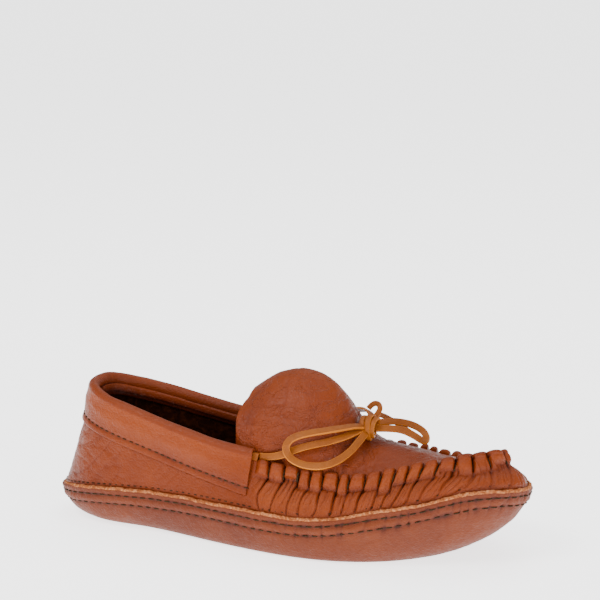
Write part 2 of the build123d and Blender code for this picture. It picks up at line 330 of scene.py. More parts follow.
UPPER = leather("upper_leather", (0.168, 0.0250, 0.0013), (0.150, 0.0210, 0.0010), (0.192, 0.0315, 0.0022),
                0.44, 0.8, 0.4)
TONGUE = leather("tongue_leather", (0.178, 0.0265, 0.0014), (0.158, 0.0222, 0.0011),
                 (0.204, 0.0335, 0.0024), 0.44, 0.8, 1.0)
SOLE = leather("sole_leather", (0.118, 0.0182, 0.0012), (0.103, 0.0150, 0.0009), (0.138, 0.0235, 0.0021),
               0.55, 1.0, 0.35)
LACE = leather("lace_leather", (0.27, 0.072, 0.0035), (0.19, 0.045, 0.0020), (0.38, 0.120, 0.0110),
               0.5, 0.5, 0.3, edge=(2.0, 2.3, 4.0))
LACE_CORE = leather("lace_leather_core", (0.25, 0.062, 0.0030), (0.19, 0.043, 0.0018), (0.34, 0.10, 0.0080),
                    0.55, 0.5, 0.3, shade_and_wear_mix=0.0)
FLESH = flesh_side()
RAW_EDGE = cut_edge("raw_edge", (0.31, 0.087, 0.025), (0.50, 0.21, 0.090))
THREAD = thread_material()
FOAM = foam_material()


# ---------------------------------------------------------------- surfaces of the frame

def tree_of(*names):
    verts, faces = [], []
    for name in names:
        mesh = nodes[name].data
        start = len(verts)
        verts += [v.co.copy() for v in mesh.vertices]
        faces += [[start + i for i in p.vertices] for p in mesh.polygons]
    return BVHTree.FromPolygons(verts, faces)


TREES = {name: tree_of(name) for name in ("outer_sole", "wrapper", "collar_cuff")}
ROOF = tree_of("plug", "tongue")


def spine_columns():
    """Ray origins and directions round the shoe, starting and ending at the back seam."""
    straight = int((SPINE_TOE - SPINE_HEEL) / COLUMN_STEP)
    fan = 300
    places, angles = [], []
    for k in range(fan // 2):
        places.append(SPINE_HEEL)
        angles.append(-math.pi + math.pi * k / fan)
    for k in range(straight):
        places.append(SPINE_HEEL + (SPINE_TOE - SPINE_HEEL) * k / straight)
        angles.append(-math.pi / 2)
    for k in range(fan):
        places.append(SPINE_TOE)
        angles.append(-math.pi / 2 + math.pi * k / fan)
    for k in range(straight):
        places.append(SPINE_TOE + (SPINE_HEEL - SPINE_TOE) * k / straight)
        angles.append(math.pi / 2)
    for k in range(fan // 2):
        places.append(SPINE_HEEL)
        angles.append(math.pi / 2 + math.pi * k / fan)
    drift = SPINE_DRIFT / (SPINE_TOE - SPINE_HEEL)
    origins = np.array([(x, (x - SPINE_HEEL) * drift) for x in places])
    directions = np.array([(math.cos(a), math.sin(a)) for a in angles])
    return origins, directions


ORIGIN, AWAY = spine_columns()
COLS = len(ORIGIN)


def outer_reach(tree, col, z):
    """Distance from the spine to the outermost face at height z, or None."""
    ox, oy = ORIGIN[col]
    dx, dy = AWAY[col]
    start = Vector((ox + dx * REACH, oy + dy * REACH, z))
    hit = tree.ray_cast(start, Vector((-dx, -dy, 0)), REACH)
    return REACH - hit[3] if hit[0] is not None else None


def highest(tree, col, low, high):
    """Greatest height at which a level ray still meets the face."""
    for _ in range(13):
        mid = (low + high) / 2
        if outer_reach(tree, col, mid) is None:
            high = mid
        else:
            low = mid
    return low


def band(tree, low, high, rows, power=1.0):
    """Outer reach over a grid of heights between low and high (per column)."""
    s = np.linspace(0, 1, rows) ** power
    Z = low[None] + (high - low)[None] * s[:, None]
    R = np.full((rows, COLS), np.nan)
    for j in range(rows):
        for c in range(COLS):
            r = outer_reach(tree, c, Z[j, c])
            if r is not None:
                R[j, c] = r
    for c in range(COLS):
        good = ~np.isnan(R[:, c])
        R[:, c] = np.interp(np.arange(rows), np.flatnonzero(good), R[good, c])
    return R, Z


def points(R, Z, sigma=7.0):
    """Points at reach R and height Z, smoothed round the shoe; sigma in columns."""
    x = blur(ORIGIN[:, 0] + AWAY[:, 0] * R, sigma, -1, True)
    y = blur(ORIGIN[:, 1] + AWAY[:, 1] * R, sigma, -1, True)
    return np.stack([x, y, np.broadcast_to(Z, x.shape)], -1)


EDGE = 0.25 * MM
rim_z = blur(np.array([highest(TREES["outer_sole"], c, 0.012, 0.07) for c in range(COLS)]), 8, 0, True)
top_z = blur(np.array([highest(TREES["wrapper"], c, 0.03, 0.1) for c in range(COLS)]), 8, 0, True)
WALL_ROWS = 66
wall_r, wall_z = band(TREES["wrapper"], rim_z + 2 * EDGE, top_z - 4 * EDGE, WALL_ROWS)
wall = points(wall_r, wall_z)
along = np.concatenate([[0], np.cumsum(np.linalg.norm(np.diff(wall[-1], axis=0), axis=1))])
wall_height = top_z - rim_z
is_front = wall[-1, :, 0] > CUFF_FRONT
front_run = np.flatnonzero(is_front)
front_start, front_end = front_run[0], front_run[-1]


# ---------------------------------------------------------------- outer sole

def build_sole():
    rows = 46
    R, Z = band(TREES["outer_sole"], np.full(COLS, 0.3 * MM), rim_z - EDGE, rows, 2.0)
    R, Z = R[::-1], Z[::-1]
    P = points(R, Z)
    depth = np.concatenate([np.zeros((1, COLS)), np.cumsum(np.linalg.norm(np.diff(P, axis=0), axis=2), 0)])
    lap = np.concatenate([[0], np.cumsum(np.linalg.norm(np.diff(P[0], axis=0), axis=1))])[None]
    off = 0.25 * MM * fractal(lap / 0.016, depth / 0.012, 3)
    off += 0.12 * MM * fractal(lap / 0.004, depth / 0.004, 5)
    pucker = 0.5 + 0.5 * np.cos(2 * math.pi * lap / STITCH_PITCH)
    for row in SOLE_ROWS:
        off -= (0.45 + 0.25 * pucker) * MM * bell(depth - row, 1.0 * MM)
    off += 0.5 * MM * bell(depth - sum(SOLE_ROWS) / 2, 2.0 * MM)
    off += 0.35 * MM * bell(depth - 1.9 * MM, 1.4 * MM)
    fore = smooth_step(P[..., 0], -0.03, 0.03)
    near_rows = bell(depth - sum(SOLE_ROWS) / 2, 6.5 * MM)
    off -= 0.40 * MM * near_rows * (0.35 + fore) * bell(noise(lap / 0.0042, depth / 0.011, 6), 0.3)
    off *= smooth_step(Z, 0.4 * MM, 4 * MM)
    P = displaced(P, -off)
    P[..., 2] += 0.6 * MM * fractal(lap / 0.013, lap * 0, 9) * bell(depth, 4 * MM)
    # painted shade: the sunken stitch grooves and puckers are darker, the raised band between the rows
    # lighter
    shade_and_wear = 0.5 + off / (2.2 * MM)
    bottom = []
    for k in range(1, 12):
        shrink = 1 - k / 11
        ring = points(R[-1] * shrink, np.full(COLS, 0.15 * MM))
        bottom.append(ring)
    outer = np.concatenate([P, np.array(bottom)])
    outer[..., 2] = np.maximum(outer[..., 2], 0.05 * MM)
    shade_and_wear = np.concatenate([shade_and_wear, np.full((len(bottom), COLS), 0.5)])
    sole = grid_object("sole_leather_cup", outer, shade_and_wear=shade_and_wear, flip=True)
    sole.data.materials.append(SOLE)
    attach(sole, "shoe")
    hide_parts("outer_sole")

    # the raw edge: a fibrous strip across the leather's thickness, turned down inside
    fray = 0.34 * MM * fractal(lap[0] / 0.0014, lap[0] * 0, 21)
    lip = P[0]
    inward = -AWAY
    steps = [(-0.35, -0.9), (-0.30, 0.1), (0.25, 0.6), (0.9, 0.75), (1.6, 0.45), (1.9, -0.6), (1.9, -3.5)]
    strip = []
    for inset, lift in steps:
        ring = lip.copy()
        ring[:, :2] += inward * (inset * MM)
        ring[:, 2] += lift * MM + (fray if inset < 1.9 else 0)
        strip.append(ring)
    edge = grid_object("sole_raw_edge", np.array(strip))
    edge.data.materials.append(RAW_EDGE)
    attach(edge, "shoe")
    return P, depth


# ---------------------------------------------------------------- stitches

def stitch_mesh(name, node, places, radius=0.42 * MM, length=3.9 * MM):
    """One thread piece: each stitch is a short round arc that dives into the leather at both ends."""
    verts, faces = [], []
    sides, rings = 8, 9
    for centre, tangent, normal in places:
        t = Vector(tangent).normalized()
        n = Vector(normal).normalized()
        b = t.cross(n).normalized()
        start = len(verts)
        for i in range(rings):
            s = i / (rings - 1) * 2 - 1
            lift = 0.55 * MM * (1 - s ** 4) - 0.42 * MM
            core = Vector(centre) + t * (s * length / 2) + n * lift
            r = radius * (1 - 0.35 * s ** 4)
            for k in range(sides):
                a = 2 * math.pi * k / sides
                verts.append(core + (b * math.cos(a) + n * math.sin(a)) * r)
        for i in range(rings - 1):
            for k in range(sides):
                a, c = start + i * sides + k, start + i * sides + (k + 1) % sides
                faces.append((a, c, c + sides, a + sides))
        faces.append(tuple(start + k for k in reversed(range(sides))))
        faces.append(tuple(start + (rings - 1) * sides + k for k in range(sides)))
    mesh = bpy.data.meshes.new(name)
    mesh.from_pydata([tuple(v) for v in verts], [], faces)
    mesh.shade_smooth()
    obj = bpy.data.objects.new(name, mesh)
    bpy.context.scene.collection.objects.link(obj)
    obj.data.materials.append(THREAD)
    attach(obj, "shoe")
    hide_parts(node)


def row_places(P, depth, level, pitch, outward, keep=None):
    """Evenly spaced stitches along the line where depth equals level."""
    N = normals(P) * outward
    line, norm = [], []
    for c in range(P.shape[1]):
        j = np.searchsorted(depth[:, c], level)
        j = min(max(j, 1), len(P) - 1)
        span = depth[j, c] - depth[j - 1, c]
        f = (level - depth[j - 1, c]) / span if span > 0 else 0
        line.append(P[j - 1, c] * (1 - f) + P[j, c] * f)
        norm.append(N[j, c])
    line, norm = np.array(line), np.array(norm)
    lap = np.concatenate([[0], np.cumsum(np.linalg.norm(np.diff(line, axis=0), axis=1))])
    count = int(lap[-1] / pitch)
    places = []
    for k in range(count):
        c = int(np.searchsorted(lap, (k + 0.5) * lap[-1] / count))
        c = min(c, len(line) - 2)
        if keep is None or keep[c]:
            places.append((line[c], line[(c + 2) % len(line)] - line[c - 2], norm[c]))
    return places


# ---------------------------------------------------------------- wrapper

def pleats():
    """For each front column: place within its pleat (-0.5 to 0.5), pleat number and pleat width."""
    run = along[front_end] - along[front_start]
    count = int(run / PLEAT_PITCH)
    rng = np.random.default_rng(7)
    widths = 1 + 0.22 * (rng.random(count) - 0.5) * 2
    toe = np.abs((np.arange(count) + 0.5) / count - 0.5)
    widths *= 1 + 0.25 * bell(toe - 0.12, 0.08)
    bounds = np.concatenate([[0], np.cumsum(widths)]) / widths.sum() * run
    s = along - along[front_start]
    number = np.clip(np.searchsorted(bounds, s, side="right") - 1, 0, count - 1)
    width = bounds[number + 1] - bounds[number]
    place = (s - bounds[number]) / width - 0.5
    return np.clip(place, -0.5, 0.5), number, width


def build_wrapper():
    place, number, width = pleats()
    front = smooth_step(wall[-1, :, 0], CUFF_FRONT - 1 * MM, CUFF_FRONT + 4 * MM)
    down = top_z[None] - wall_z                     # distance below the ridge
    lean = smooth_step(wall[-1, :, 0], 0.06, 0.10) * smooth_step(-wall[-1, :, 1], -0.01, 0.01)
    f = (place[None] + 0.5 + 0.055 * lean * down / MM) % 1 - 0.5
    gap = (0.5 - np.abs(f)) * width[None]           # distance to the nearest slit
    lap = along[None]

    toe = smooth_step(wall[-1, :, 0], 0.075, 0.105)[None]
    uneven = 1 + 0.20 * np.sin(number * 2.3) + 0.13 * np.sin(number * 5.1)
    tall = HEAD_HEIGHT * uneven[None] * (1 - 0.25 * toe)
    level = down / tall
    head = smooth_step(1.16 - level, 0, 0.36)
    puff = np.sin(math.pi * np.clip(0.12 + 0.88 * level, 0, 1)) ** 0.7
    swell = (1 + 0.25 * np.sin(number * 3.7))[None]
    crown = np.clip(1 - np.abs(2 * f) ** 2.0, 0, 1) ** 0.6
    off = head * 2.4 * MM * swell * crown * (0.25 + 0.75 * puff)
    slit_width = 0.72 * MM * (1.2 - 0.6 * np.clip(level, 0, 1))
    off -= head * 2.4 * MM * np.exp(-(gap / slit_width) ** 2)
    crimp = bell(f - 0.20 * np.sin(number * 4.3)[None] - 0.05 * level, 0.07) * smooth_step(level, 0.25, 0.9)
    off -= head * 0.8 * MM * crimp
    off -= 1.0 * MM * bell(level - 1.1, 0.16) * (0.3 + 0.7 * np.abs(2 * f)) * (1 - 0.6 * toe)

    # below the gather line: fine folds fan out from each pinch and fade towards the rim
    below = smooth_step(level, 0.95, 1.3)
    remain = np.clip((wall_z - rim_z[None]) / np.maximum(wall_height[None] - HEAD_HEIGHT, 1 * MM), 0, 1)
    off += below * 1.5 * MM * np.sin(math.pi * remain) ** 0.8
    reach = np.clip(down - HEAD_HEIGHT, 0, 1)
    sway = 0.30 + 0.38 * noise(lap / 0.014, down / 0.014, 31) + 0.22 * noise(lap / 0.0045, down / 0.008, 32)
    fan = f + sway * reach / 0.010
    phase = 0.4 * np.sin(number * 3.1)[None]
    patch = 0.5 + 0.5 * noise(lap / 0.013, down / 0.012, 35)
    fade = 0.22 + 0.78 * np.exp(-reach / 0.012)
    folds = 0.0
    for beat, strength in ((1, 1.9), (2, 2.2 * patch), (3, 1.7 * (1.15 - patch)), (5, 0.8 * patch)):
        crease = 1 - np.abs(np.sin(math.pi * (beat * (fan + 0.5) + (beat > 1) * phase)))
        folds = folds + strength * crease ** 2.4
    off -= below * MM * fade * folds * (1 - 0.35 * toe)
    off += below * 0.35 * MM * fractal(lap / 0.006, down / 0.007, 33)
    off = off * front[None]

    calm = (1 - 0.6 * front)[None]
    off += calm * 0.45 * MM * fractal(lap / 0.022, down / 0.016, 41)
    off += calm * 0.10 * MM * fractal(lap / 0.005, down / 0.005, 42)
    slant = lap / 0.006 + down / 0.009
    heel = smooth_step(-wall[..., 0], 0.05, 0.11)
    off -= calm * (0.14 + 0.22 * heel) * MM * bell(noise(slant, down / 0.020, 43), 0.16)
    off -= calm * 0.2 * heel * MM * bell(noise(lap / 0.016, down / 0.005, 44), 0.16)

    # back seam: a raised, folded ridge down the heel with a groove in it, darkened by painted shade
    heel_side = np.where(wall[-1, :, 0] < SPINE_HEEL, wall[-1, :, 1], 1.0)[None]
    off += 1.5 * MM * bell(heel_side, 2.6 * MM) - 1.8 * MM * bell(heel_side, 0.7 * MM)

    off *= smooth_step(wall_z - rim_z[None], -0.2 * MM, 2.0 * MM)
    P = displaced(wall, off)
    # painted shade: the slits between the gathers and the fold valleys darken almost to black, the gather
    # crowns lighten
    shade_and_wear = 0.5 + off / (4.2 * MM)

    # top of the ridge, rolled over to the plug
    edge_gap = (0.5 - np.abs(place)) * width
    bump = (0.7 * MM * (1 - np.abs(2 * place) ** 2.6) - 1.5 * MM * bell(edge_gap, 0.8 * MM)) * front
    # painted shade over the slits at the top of the ridge
    slit_shade = bell(edge_gap, 0.9 * MM) * front
    roll, roll_painted_light = [], []
    for k in range(1, 12):
        a = math.pi * k / 11
        ring = P[-1].copy()
        ring[:, :2] -= AWAY * (RIDGE_RADIUS * (1 - math.cos(a)))
        ring[:, 2] += RIDGE_RADIUS * math.sin(a) * 0.8 + bump * math.sin(a)
        roll.append(ring)
        # painted highlight along the crest of the roll, painted shade over the slits
        roll_painted_light.append(0.5 + 0.08 * math.sin(a) - 0.5 * slit_shade)
    drop = roll[-1].copy()
    drop[:, 2] -= 3.2 * MM
    P = np.concatenate([P, np.array(roll), drop[None]])
    # the drop behind the ridge is painted dark as shade
    shade_and_wear = np.concatenate([shade_and_wear, np.array(roll_painted_light), np.full((1, COLS), 0.15)])
    skirt = wall[0].copy()
    skirt[:, 2] -= 3 * MM
    P = np.concatenate([skirt[None], P])
    # the skirt that runs down into the sole is painted dark as shade
    shade_and_wear = np.concatenate([np.full((1, COLS), 0.25), shade_and_wear])
    upper = grid_object("gathered_upper", P, shade_and_wear=shade_and_wear)
    upper.data.materials.append(UPPER)
    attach(upper, "shoe")
    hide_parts("wrapper")
    return P, f


def build_lining():
    """Rough inner face of the wrapper, from the top edge down to the sock liner."""
    rows = 40
    low = np.full(COLS, 6 * MM)
    high = top_z - 1.5 * MM
    s = np.linspace(0, 1, rows)[:, None]
    Z = low[None] + (high - low)[None] * s
    R = np.zeros((rows, COLS))
    sole_r, sole_z = band(TREES["outer_sole"], np.full(COLS, 0.3 * MM), rim_z - EDGE, 24, 1.5)
    for c in range(COLS):
        zs = np.concatenate([sole_z[:, c], wall_z[:, c]])
        rs = np.concatenate([sole_r[:, c] - SOLE_LEATHER, wall_r[:, c] - WALL_LEATHER])
        R[:, c] = np.interp(Z[:, c], zs, rs)
    P = points(R, Z)
    lap = along[None]
    off = 0.5 * MM * fractal(lap / 0.012, Z / 0.012, 51) + 0.2 * MM * fractal(lap / 0.003, Z / 0.003, 52)
    P = displaced(P, off)
    lining = grid_object("flesh_side_lining", P, flip=True)
    lining.data.materials.append(FLESH)
    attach(lining, "shoe")


# ---------------------------------------------------------------- cuff

def build_cuff():
    cuff_tree = TREES["collar_cuff"]
    has = np.array([outer_reach(cuff_tree, c, top_z[c] - 9 * MM) is not None for c in range(COLS)])
    low = np.zeros(COLS)
    high = np.zeros(COLS)
    for c in range(COLS):
        if has[c]:
            middle = top_z[c] - 9 * MM
            high[c] = highest(cuff_tree, c, middle, top_z[c] + 15 * MM)
            bottom, inside = middle - 16 * MM, middle
            for _ in range(13):
                mid = (bottom + inside) / 2
                if outer_reach(cuff_tree, c, mid) is None:
                    bottom = mid
                else:
                    inside = mid
            low[c] = inside
    cols = np.flatnonzero(has)
    for a in (low, high):
        a[~has] = np.interp(np.flatnonzero(~has), cols, a[has], period=COLS)
    # near its front ends the lower edge goes on as straight as it comes
    gap = np.flatnonzero(~has)
    margin, base = 14, 24
    for last, step in ((gap[0] - 1, -1), (gap[-1] + 1, 1)):
        inner = last + margin * step
        slope = (low[inner] - low[inner + base * step]) / base
        for k in range(1, 2 * margin):
            low[inner - k * step] = low[inner] + slope * k
    low, high = blur(low, 4, 0, True), blur(high, 9, 0, True)
    rows = 34
    s = np.linspace(0, 1, rows)
    Z = low[None] + 1.0 * MM + (high - ROLL_RADIUS * 1.35 - low - 1.0 * MM)[None] * s[:, None]
    R = np.full((rows, COLS), np.nan)
    for j in range(rows):
        for c in cols:
            r = outer_reach(cuff_tree, c, Z[j, c])
            if r is not None:
                R[j, c] = r
    for j in range(rows):
        good = ~np.isnan(R[j])
        R[j] = np.interp(np.arange(COLS), np.flatnonzero(good), R[j, good], period=COLS)
    P = points(R, Z)
    up = Z - low[None]
    lap = along[None]
    off = -0.45 * MM * bell(up - COLLAR_ROW, 0.9 * MM) + 1.5 * MM * smooth_step(up, 5 * MM, 15 * MM)
    pucker = 0.5 + 0.5 * np.cos(2 * math.pi * lap / STITCH_PITCH)
    off -= 0.2 * MM * pucker * bell(up - COLLAR_ROW, 1.4 * MM)
    off += 0.35 * MM * fractal(lap / 0.02, up / 0.014, 61) + 0.1 * MM * fractal(lap / 0.004, up / 0.004, 62)
    P = displaced(P, off)
    # painted shade in the stitch groove, lighter where the band is padded out
    shade_and_wear = 0.5 + off / (3.0 * MM)
    edge = P[0].copy()
    edge[:, :2] -= AWAY * 1.3 * MM
    edge[:, 2] -= 0.5 * MM
    middle = P[0].copy()
    middle[:, :2] -= AWAY * 0.4 * MM
    middle[:, 2] -= 0.7 * MM
    shoulder = P[-1]
    roll, roll_painted_light = [], []
    wave = 0.35 * MM * fractal(along / 0.018, along * 0, 63)
    for k in range(1, 17):
        a = math.pi * 1.08 * k / 16
        ring = shoulder.copy()
        ring[:, :2] -= AWAY * (ROLL_RADIUS * (1 - math.cos(a)))
        ring[:, 2] += (ROLL_RADIUS * 1.25) * math.sin(a) + wave * math.sin(a)
        roll.append(ring)
        # painted highlight along the top of the roll
        roll_painted_light.append(0.5 + 0.12 * math.sin(a))
    facing = []
    for k in range(1, 9):
        ring = roll[-1].copy()
        ring[:, :2] += AWAY * (1.3 * MM * math.sin(math.pi * 0.5 * k / 8))
        ring[:, 2] -= k / 8 * FACING_DEPTH
        facing.append(ring)
    full = np.concatenate([edge[None], middle[None], P, np.array(roll), np.array(facing)])
    # the tucked-under lower edge and the facing inside the collar are painted dark as shade; the lip row is
    # painted lighter
    shade_and_wear = np.concatenate([np.full((1, COLS), 0.3), np.full((1, COLS), 0.62), shade_and_wear,
                           np.repeat(np.array(roll_painted_light)[:, None], COLS, 1), np.full((8, COLS), 0.14)])
    # slant the front ends back towards the bottom
    lean = np.clip((high[None] - full[..., 2]) / 0.026, 0, 1)
    ends = smooth_step(wall[-1, :, 0], CUFF_FRONT - 22 * MM, CUFF_FRONT)[None]
    full[..., 0] -= 1.5 * MM * lean * ends
    cuff = grid_object("rolled_cuff", full, shade_and_wear=shade_and_wear, keep=has)
    cuff.data.materials.append(UPPER)
    solidify(cuff, 1.2 * MM)
    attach(cuff, "shoe")
    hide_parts("collar_cuff")
    return P, up, has


# ---------------------------------------------------------------- plug and tongue

def roof_hit(x, angle):
    """Distance from the low line to the outermost face of the plug and tongue, or None."""
    d = Vector((0, math.sin(angle), math.cos(angle)))
    start = Vector((x, AXIS_Y, AXIS_Z)) + d * ROOF_REACH
    hit = ROOF.ray_cast(start, -d, ROOF_REACH - 1 * MM)
    return ROOF_REACH - hit[3] if hit[0] is not None else None


def roof_limit(x, sign):
    """Largest angle on one side at which a ray still meets the plug or tongue."""
    low, high = 0.0, 1.45
    for _ in range(12):
        mid = (low + high) / 2
        if roof_hit(x, sign * mid) is None:
            high = mid
        else:
            low = mid
    return low


def build_tongue_plug():
    across, lengthwise = 91, 210
    toe_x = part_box("plug")[1][0] - 3 * MM
    xs = np.arange(-0.026, toe_x, 1.0 * MM)
    limits = {}
    for sign in (-1, 1):
        raw = np.array([roof_limit(x, sign) if roof_hit(x, 0.0) is not None else np.nan for x in xs])
        good = ~np.isnan(raw) & (raw > 0.05)
        raw = np.interp(xs, xs[good], raw[good])
        limits[sign] = blur(raw, 3, 0, False)
    radius = np.full((len(xs), across), np.nan)
    share = np.linspace(-1, 1, across)
    for i, x in enumerate(xs):
        for k, s in enumerate(share):
            angle = s * limits[1 if s > 0 else -1][i]
            r = roof_hit(x, angle * 0.995)
            if r is not None:
                radius[i, k] = r
    back = np.zeros(across)
    for k in range(across):
        good = np.flatnonzero(~np.isnan(radius[:, k]))
        back[k] = xs[good[0]]
        radius[:, k] = np.interp(xs, xs[good], radius[good, k])
    radius = blur(blur(radius, 2.0, 0, False), 2.0, 1, False)
    back = blur(back, 3.0, 0, False)
    line = np.linspace(0, 1, lengthwise) ** 0.9
    P = np.zeros((lengthwise, across, 3))
    for k, s in enumerate(share):
        x_line = back[k] + (xs[-1] - back[k]) * line
        r_line = np.interp(x_line, xs, radius[:, k])
        limit = np.interp(x_line, xs, limits[1 if s > 0 else -1])
        P[:, k, 0] = x_line
        P[:, k, 1] = AXIS_Y + np.sin(s * limit) * r_line
        P[:, k, 2] = AXIS_Z + np.cos(s * limit) * r_line
    X, Y = P[..., 0], P[..., 1]
    off = 0.5 * MM * fractal(X / 0.022, Y / 0.018, 71) + 0.12 * MM * fractal(X / 0.005, Y / 0.005, 72)
    throat = bell(X - 0.047, 12 * MM)
    off -= throat * 0.6 * MM * bell(noise(X / 0.0035 + Y / 0.03, Y / 0.012, 73), 0.25)
    ripples = bell(noise(X / 0.005 + Y / 0.03, Y / 0.016, 74), 0.22)
    patches = 0.5 + 0.5 * noise(X / 0.02, Y / 0.02, 76)
    off -= 0.22 * MM * smooth_step(-X, -0.05, -0.02) * ripples * patches
    off -= 0.14 * MM * bell(noise(X / 0.008 - Y / 0.02, Y / 0.010, 75), 0.12)
    P = displaced(P, -off, wrap=False)
    # the near side of the tongue's free edge stands further back
    rear = smooth_step(-X, -0.03, 0.012) * smooth_step(-Y, 0.004, 0.022)
    P[..., 0] -= 4.2 * MM * rear * bell(P[..., 2] - 0.070, 16 * MM)
    # skirts down both sides, longer along the tongue
    sides = []
    for edge, inner in ((0, 3), (-1, -4)):
        down = P[:, edge] - P[:, inner]
        down /= np.linalg.norm(down, axis=1, keepdims=True)
        down = down + np.array([0, 0, -1.5])
        down /= np.linalg.norm(down, axis=1, keepdims=True)
        length = 1.5 * MM + 8 * MM * smooth_step(-P[:, edge, 0], -0.048, -0.034)
        sides.append([P[:, edge] + down * (length * k / 5)[:, None] for k in range(1, 6)])
    near, far = (np.array(side).transpose(1, 0, 2) for side in sides)
    P = np.concatenate([near[:, ::-1], P, far], axis=1)
    off = np.pad(off, ((0, 0), (5, 5)), mode="edge")
    # painted shade in the creases and ripples
    shade_and_wear = 0.5 + off / (3.2 * MM)
    shade_and_wear[:3] += 0.12        # rubbed top edge
    piece = grid_object("tongue_and_plug", P, wrap=False, shade_and_wear=shade_and_wear, flip=True)
    piece.data.materials.append(TONGUE)
    solidify(piece, 1.8 * MM)
    mod = piece.modifiers.new("soften", "BEVEL")
    mod.width = 0.4 * MM
    mod.segments = 2
    mod.limit_method = "ANGLE"
    apply_modifiers(piece)
    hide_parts("plug", "tongue")
    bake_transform(piece)


def apply_modifiers(obj):
    depsgraph = bpy.context.evaluated_depsgraph_get()
    mesh = bpy.data.meshes.new_from_object(obj.evaluated_get(depsgraph))
    obj.modifiers.clear()
    obj.data = mesh


# ---------------------------------------------------------------- lace

# Routes of the free stretches in millimetres; both tails and the far loop differ a little from the CAD's
ROUTES = {
    "lace_near_run": [(-5, -33.2, 55), (2, -34.6, 55.7), (10, -35.2, 58.2), (17, -34.9, 62),
                      (25, -33.4, 64.6), (34, -29.5, 66.4), (42, -23.5, 68.2), (47, -15.5, 69.8),
                      (50.5, -7.5, 70.5)],
    "lace_far_run": [(-5, 32.6, 55), (2, 34, 56.5), (10, 34.8, 60), (18, 34.6, 64), (26, 32.6, 67.5),
                     (34, 28.5, 70.8), (41.5, 21.5, 73.2), (47.5, 12.5, 73.6), (51.5, 3.5, 72)],
    "lace_near_loop": [(50.5, -7, 71), (47, -14.5, 73.4), (41.5, -22, 73.6), (34.5, -28.5, 73.2),
                       (26.5, -33, 72.2), (19, -36, 70.6), (13.8, -38, 67.4), (12.4, -39, 62.6),
                       (15.2, -39.6, 58), (21, -39.8, 55.2), (28, -39.5, 54.3), (35, -38.2, 54.8),
                       (41.6, -34.6, 57), (47, -28, 60.8), (50, -20.5, 65.2), (51.5, -11.5, 68.6)],
    "lace_far_loop": [(54, -1, 72.2), (60, 5.5, 72), (66.5, 11, 70.8), (73, 14.4, 68.6),
                      (79, 15, 65.2), (81.6, 12, 62.3), (82.4, 7, 61.2), (81, 3, 63.2),
                      (77, 0.8, 66.6), (71, 0, 69.2), (63, -1.4, 70), (55, -4, 69.6)],
    "lace_near_tail": [(51.5, -6, 64.5), (51.4, -5, 69), (52.2, -2, 73), (54.2, 1.8, 76.4),
                       (55.4, 5, 79.2), (53.4, 7.5, 81.6), (49.6, 7.6, 81.2), (47.6, 6.4, 78.2)],
    "lace_far_tail": [(53, -3, 72), (52, 5, 75.6), (54, 11, 74), (58, 16, 70.4), (62.6, 20.4, 66),
                      (67.4, 24.4, 61.4), (71.8, 28, 57.2)],
}
# Way the broad face looks at the start and end of each stretch
FACES = {
    "lace_near_run": ((0, -1, 0.2), (0.1, -0.7, 0.7)),
    "lace_far_run": ((0, 1, 0.2), (0.1, 0.5, 0.8)),
    "lace_near_loop": ((0, -0.5, 0.85), (0.5, -0.75, 0.5)),
    "lace_far_loop": ((0, -0.75, 0.65), (0, -0.8, 0.6)),
    "lace_near_tail": ((0.4, -0.9, 0.2), (0.2, -0.95, 0.2)),
    "lace_far_tail": ((0.3, -0.7, 0.6), (0.3, -0.6, 0.7)),
}


def nurbs_line(name, route, steps=26):
    """Points along the smooth line whose control points are the route."""
    curve = bpy.data.curves.new(name + "_line", "CURVE")
    curve.dimensions = "3D"
    curve.resolution_u = steps
    spline = curve.splines.new("NURBS")
    spline.points.add(len(route) - 1)
    for point, place in zip(spline.points, route):
        point.co = (place[0] * MM, place[1] * MM, place[2] * MM, 1)
    spline.order_u = 3
    spline.use_endpoint_u = True
    holder = bpy.data.objects.new(name + "_line", curve)
    bpy.context.scene.collection.objects.link(holder)
    bpy.context.view_layer.update()
    mesh = bpy.data.meshes.new_from_object(holder.evaluated_get(bpy.context.evaluated_depsgraph_get()))
    line = np.array([v.co[:] for v in mesh.vertices])
    bpy.data.objects.remove(holder)
    bpy.data.curves.remove(curve)
    bpy.data.meshes.remove(mesh)
    return line


def ribbon(name, line, face_start, face_end, width, thickness, seed):
    """Flat thong along a line: rounded rectangle section, slightly uneven, with pale cut edges."""
    length = np.concatenate([[0], np.cumsum(np.linalg.norm(np.diff(line, axis=0), axis=1))])
    tangent = np.gradient(line, axis=0)
    tangent /= np.linalg.norm(tangent, axis=1, keepdims=True)
    t = (length / length[-1])[:, None]
    face = np.array(face_start)[None] * (1 - t) + np.array(face_end)[None] * t
    face = face - tangent * (face * tangent).sum(1, keepdims=True)
    face /= np.linalg.norm(face, axis=1, keepdims=True)
    side = np.cross(tangent, face)
    section = []
    corner = 0.22
    for cx, cy in ((1, 1), (-1, 1), (-1, -1), (1, -1)):
        for k in range(4):
            a = math.atan2(cy, cx) - math.pi / 4 + k / 3 * math.pi / 2
            section.append((cx * (0.5 * width - corner * thickness) + corner * thickness * math.cos(a),
                            cy * (0.5 - corner) * thickness + corner * thickness * math.sin(a)))
    section = np.array(section)
    P = np.zeros((len(line), len(section), 3))
    shade_and_wear = np.zeros((len(line), len(section)))
    for k, (sx, sy) in enumerate(section):
        uneven = 1 + 0.07 * noise(length / 0.006, length * 0 + k // 4, seed)
        P[:, k] = line + side * (sx * uneven)[:, None] + face * sy
        edge = abs(sx) / (0.5 * width)
        shade_and_wear[:, k] = 0.5 + (0.42 if edge > 0.88 else -0.04 * edge)
    obj = grid_object(name, P, shade_and_wear=shade_and_wear, caps=True)
    obj.data.materials.append(LACE)
    return obj


